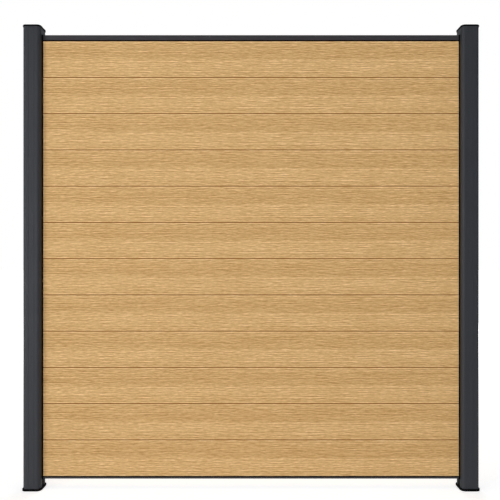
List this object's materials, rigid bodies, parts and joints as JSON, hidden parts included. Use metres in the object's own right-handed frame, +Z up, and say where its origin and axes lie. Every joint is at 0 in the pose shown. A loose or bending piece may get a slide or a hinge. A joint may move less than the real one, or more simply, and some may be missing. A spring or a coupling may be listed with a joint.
{
  "type": "composite fence panel",
  "caption": "Composite fence panel: stacked hollow tongue and groove boards with wood grain, held in grooved aluminium posts on foot plates, with a rail above and below.",
  "frame": {"origin": "on the ground, midway between the two posts and in the middle of their depth", "axes": "+X along the panel towards the right post, +Y to the rear, +Z up; the picture shows the side at -Y"},
  "size_m": [1.881, 0.081, 1.91],
  "materials": {
    "board_composite": "matt oak-tone wood composite with an embossed grain along the board",
    "post_coating": "fine-textured anthracite powder coat on aluminium",
    "rail_coating": "fine-textured anthracite powder coat on aluminium",
    "base_coating": "satin black powder coat on steel",
    "black_plastic": "moulded black plastic with a fine grain",
    "seal_rubber": "matt extruded rubber",
    "screw_steel": "stainless steel, machined"
  },
  "bodies": {
    "root": {"board_01": "board_composite", "board_02": "board_composite", "board_03": "board_composite", "board_04": "board_composite", "board_05": "board_composite", "board_06": "board_composite", "board_07": "board_composite", "board_08": "board_composite", "board_09": "board_composite", "board_10": "board_composite", "board_11": "board_composite", "board_12": "board_composite", "bottom_rail": "rail_coating", "top_rail": "rail_coating", "left_post": "post_coating", "left_post_base": "base_coating", "left_base_screws": "screw_steel", "left_post_cap": "black_plastic", "left_front_strip": "post_coating", "left_rear_strip": "post_coating", "left_outer_strip": "post_coating", "left_upper_strip": "post_coating", "left_rail_support": "black_plastic", "left_front_seal": "seal_rubber", "left_rear_seal": "seal_rubber", "right_post": "post_coating", "right_post_base": "base_coating", "right_base_screws": "screw_steel", "right_post_cap": "black_plastic", "right_front_strip": "post_coating", "right_rear_strip": "post_coating", "right_outer_strip": "post_coating", "right_upper_strip": "post_coating", "right_rail_support": "black_plastic", "right_front_seal": "seal_rubber", "right_rear_seal": "seal_rubber"}
  },
  "joints": []
}
